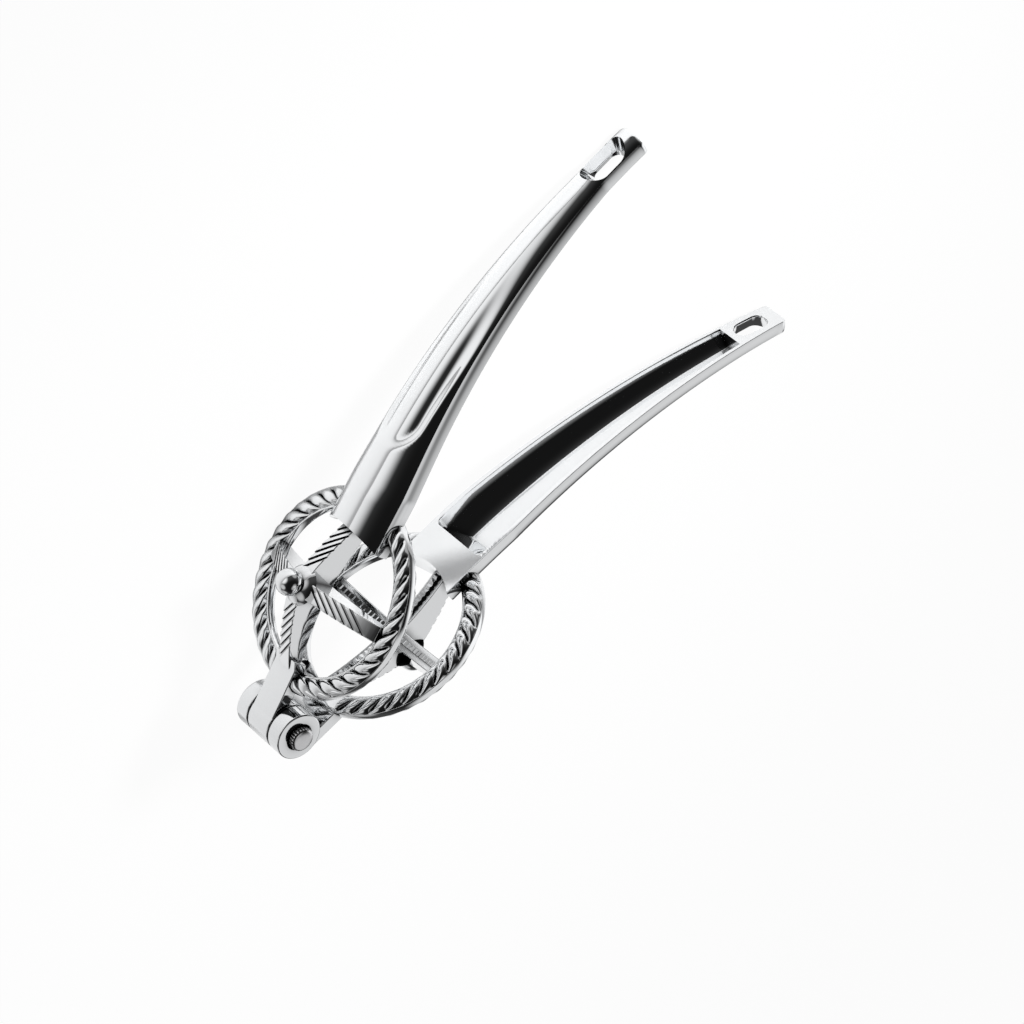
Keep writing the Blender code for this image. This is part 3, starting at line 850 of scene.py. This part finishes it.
def handle_section(jaw, x, shrink=0.0):
    half = jaw.half_width(x) - shrink
    wall = jaw.wall(x) - shrink / 2
    knee = SOFT_KNEE * RIM_SOFT
    side = [(half - RIM_SOFT, 0.0), (half - knee, knee), (half, RIM_SOFT)]
    side += [(half * share, wall * level) for share, level in FLANK]
    for i in range(HANDLE_ARCH):
        z = half * SHOULDER * math.cos(math.pi / 2 * i / HANDLE_ARCH)
        side.append((z, arch_at(jaw, x, z, shrink)))
    ring = side + [(0.0, arch_at(jaw, x, 0.0, shrink))] + [(-z, d) for z, d in reversed(side)]
    return [jaw.at(x, d, z) for z, d in ring]


def handle_body(jaw):
    first = RING_X + ROOT_R - ROOT_OVER
    last = jaw.tip - TIP_ROUND
    rings = [handle_section(jaw, mix(first, last, i / HANDLE_STATIONS)) for i in range(HANDLE_STATIONS)]
    for i in range(TIP_STEPS + 1):
        a = math.pi / 2 * i / TIP_STEPS
        shrink = TIP_ROUND * TIP_DRAW * (1 - math.cos(a))
        rings.append(handle_section(jaw, last + TIP_ROUND * math.sin(a), shrink))
    return skin(rings)


def channel_section(jaw, x, reach=1.0, inset=0.0):
    """Section of the hollow: soft lips and curved walls down to a share, the reach, of its depth."""
    t = jaw.along(x)
    top = jaw.half_width(x) - mix(LIP_ROOT, LIP_TIP, t)
    floor = mix(FLOOR_HALF_ROOT, FLOOR_HALF_TIP, t)
    bottom = mix(FLOOR_ROOT, FLOOR_TIP, t)
    lip = top + LIP_SOFT - inset
    knee = SOFT_KNEE * LIP_SOFT
    side = [(lip, -CHANNEL_OVER), (lip, 0.0), (top + knee - inset, knee)]
    for share in WALL_SHARES:
        level = share * reach
        narrowed = max(0.0, 1 - level ** WALL_CURVE) ** (1 / WALL_CURVE)
        side.append((mix(floor, top, narrowed) - inset, max(level * bottom, LIP_SOFT * (1 + share))))
    ring = side + [(-z, d) for z, d in reversed(side)]
    return [jaw.at(x, d, z) for z, d in ring]


def channel(jaw):
    """The hollow of the handle, with a sloping end and rounded corners at the root."""
    rings = []
    for i in range(NOSE_STEPS + 1):
        t = (i / NOSE_STEPS) ** NOSE_CROWD
        run = CHANNEL_SWEEP * t
        corner_left = max(0.0, 1 - run / CORNER_R)
        inset = CORNER_R * (1 - math.sqrt(1 - corner_left * corner_left))
        reach = mix(CHANNEL_FIRST, 1.0, 1 - (1 - t) ** CHANNEL_SLOPE)
        rings.append(channel_section(jaw, CHANNEL_START + run, reach, inset))
    start = CHANNEL_START + CHANNEL_SWEEP
    for i in range(CHANNEL_STEPS):
        rings.append(channel_section(jaw, mix(start, CHANNEL_END, (i + 1) / CHANNEL_STEPS)))
    return skin(rings)


def hanging_hole(jaw):
    """A long hole with a soft mouth on the open side and a straight flare towards the crown."""
    straight = (HOLE_LONG - HOLE_WIDE) / 2
    rim, tangent = jaw.rim_at(jaw.hole)
    deep = jaw.depth(jaw.hole)
    flared = (HOLE_STRAIGHT, *HOLE_LEVELS, deep, deep + HOLE_OVER)
    levels = [*HOLE_LIP] + [(level, HOLE_FLARE * (level - HOLE_STRAIGHT)) for level in flared]
    rings = []
    for level, extra in levels:
        radius = HOLE_WIDE / 2 + extra
        ring = []
        for i in range(HOLE_SIDES):
            angle = math.tau * (i + 0.5) / HOLE_SIDES
            step = radius * math.cos(angle) + math.copysign(straight, math.cos(angle))
            x = rim.x + tangent.x * step - tangent.y * level
            out = rim.y + tangent.y * step + tangent.x * level
            ring.append(jaw.place(x, out, radius * math.sin(angle)))
        rings.append(ring)
    return skin(rings)


def make_handle(jaw, node):
    drum = [(ROOT_R, -DRUM_REACH), (ROOT_R, DRUM_REACH)]
    across = Matrix.Translation((RING_X, 0, 0)) @ Matrix.Rotation(-math.pi / 2, 4, "X")
    opening = turned(drum, DRUM_SIDES, across)
    body = carved(handle_body(jaw), opening, channel(jaw), hanging_hole(jaw))
    made = piece(jaw.body + "_handle", jaw, [body], CHROME)
    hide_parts(node)


# hinge


def barrel(low, high):
    """A knuckle with rounded edges and an open bore, chamfered at both ends."""
    round_at = BARREL_R - KNUCKLE_EDGE
    made = [(BORE_R, low + BORE_SOFT), (BORE_R + BORE_SOFT, low)]
    made += corner(round_at, low + KNUCKLE_EDGE, KNUCKLE_EDGE, -90)
    made += corner(round_at, high - KNUCKLE_EDGE, KNUCKLE_EDGE, 0)
    made += [(BORE_R + BORE_SOFT, high), (BORE_R, high - BORE_SOFT)]
    return turned(made, looped=True)


def plate(jaw, outer, half):
    """A plate from the barrel outwards: its outer side as given, and the slab's parting side."""
    root = math.sqrt(BARREL_R ** 2 - SLAB_IN ** 2) - SLAB_SEAT
    outline = [(0.0, BARREL_R - SINK), *outer, (SLAB_END, SLAB_IN), (root, SLAB_IN), (0.0, SLAB_FOOT)]
    return prism(jaw.outline(outline), -half, half, PLATE_EDGE)


def outer_knuckles(jaw):
    """Two knuckles on one slab, with room for the middle knuckle between them."""
    slab = plate(jaw, [(SLAB_END, SLAB_OUT)], KNUCKLE_OUT - SINK)
    half = KNUCKLE_IN + KNUCKLE_SLOT_OVER
    room = turned([(BARREL_R + GAP, -half), (BARREL_R + GAP, half)])
    return [barrel(KNUCKLE_IN, KNUCKLE_OUT), barrel(-KNUCKLE_OUT, -KNUCKLE_IN), carved(slab, room)]


def middle_knuckle(jaw):
    """One knuckle and the lug that runs from it over the ring into the cage's arm."""
    r = RING_X - LUG_END
    outer = [
        (SLAB_START, SLAB_OUT),
        (SLAB_END + LUG_RISE, SLAB_OUT + LUG_RISE),
        (LUG_END, blade_top(r) - LUG_LOW),
        (LUG_END, blade_bottom(r) + SINK),
    ]
    return [barrel(-MIDDLE_HALF, MIDDLE_HALF), plate(jaw, outer, MIDDLE_HALF - SINK)]


def make_pin(jaw):
    """Turned pin: chamfered far end, plain shank, knurled near end and a slightly domed face."""
    count = KNURL_TEETH * KNURL_STEPS
    profile = [(PIN_CENTRE, PIN_FAR, 0)]
    profile += [(PIN_R - inset, PIN_FAR + high, 0) for inset, high in PIN_CHAMFER]
    profile += [(PIN_R, KNURL_FROM, 0), (PIN_R, KNURL_FULL, KNURL_DEEP), (PIN_R, KNURL_TO, KNURL_DEEP)]
    profile += [(radius, PIN_NEAR - PIN_DOME_HIGH + high, 0) for radius, high in PIN_DOME]
    rings = []
    for radius, z, cut in profile:
        ring = []
        for i in range(count):
            a = math.tau * i / count
            wave = abs(math.sin(math.pi * (i % KNURL_STEPS) / KNURL_STEPS))
            r = radius - cut * (1 - wave)
            ring.append(Vector((r * math.cos(a), r * math.sin(a), z)))
        rings.append(ring)
    made = piece("hinge_pin_turned", jaw, [skin(rings)], PIN_METAL)
    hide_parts("hinge_pin")


for cutter_jaw, cad_node, knuckles in (
    (LOWER, "lower_jaw", outer_knuckles),
    (UPPER, "upper_jaw", middle_knuckle),
):
    make_handle(cutter_jaw, cad_node)
    make_ring(cutter_jaw)
    make_cage(cutter_jaw)
    piece(cutter_jaw.body + "_knuckle", cutter_jaw, knuckles(cutter_jaw), CHROME)
make_pin(LOWER)
